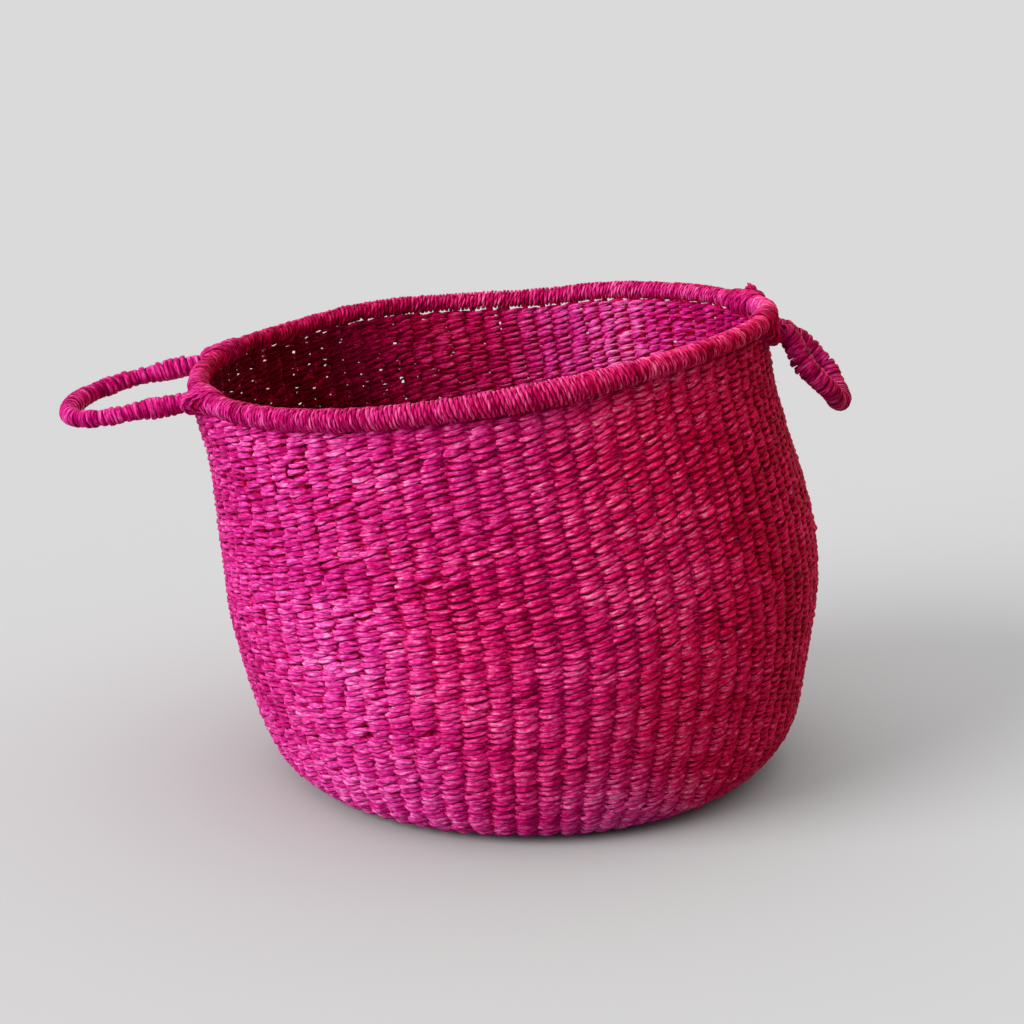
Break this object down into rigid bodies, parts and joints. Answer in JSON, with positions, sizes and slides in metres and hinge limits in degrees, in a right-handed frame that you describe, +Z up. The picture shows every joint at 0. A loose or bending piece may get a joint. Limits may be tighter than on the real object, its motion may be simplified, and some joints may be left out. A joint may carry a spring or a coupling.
{
  "type": "basket",
  "caption": "Round-bellied basket of twined dyed grass with a bound, tilted rim and two wound loop handles lashed to opposite sides.",
  "frame": {"origin": "centre of the base, on the floor", "axes": "+Z up, +X towards the right handle, which is the higher end of the rim, +Y away from the viewer of the picture"},
  "size_m": [0.5328, 0.372, 0.3256],
  "materials": {
    "weft": "dyed grass strand, satin",
    "stakes": "dyed grass stalk, matt",
    "hoop": "bent cane, matt",
    "binding": "dyed twisted grass cord, satin"
  },
  "bodies": {
    "basket": {"woven_body": "weft", "stakes": "stakes", "rim_hoop": "hoop", "rim_binding": "binding"},
    "left_handle": {"left_handle_core": "hoop", "left_handle_wrap": "binding", "left_front_lashing": "binding", "left_back_lashing": "binding"},
    "right_handle": {"right_handle_core": "hoop", "right_handle_wrap": "binding", "right_front_lashing": "binding", "right_back_lashing": "binding", "right_knot": "binding"}
  },
  "joints": [
    {"name": "left_handle_swing", "type": "hinge", "parent": "basket", "child": "left_handle", "pos_m": [-0.20712, 0.015, 0.26412], "axis": [-0.0051, 0.9991, 0.0424], "range_deg": [-47, 98]},
    {"name": "right_handle_swing", "type": "hinge", "parent": "basket", "child": "right_handle", "pos_m": [0.15028, 0.015, 0.30741], "axis": [-0.0052, -0.9991, 0.043], "range_deg": [-17, 128]}
  ]
}
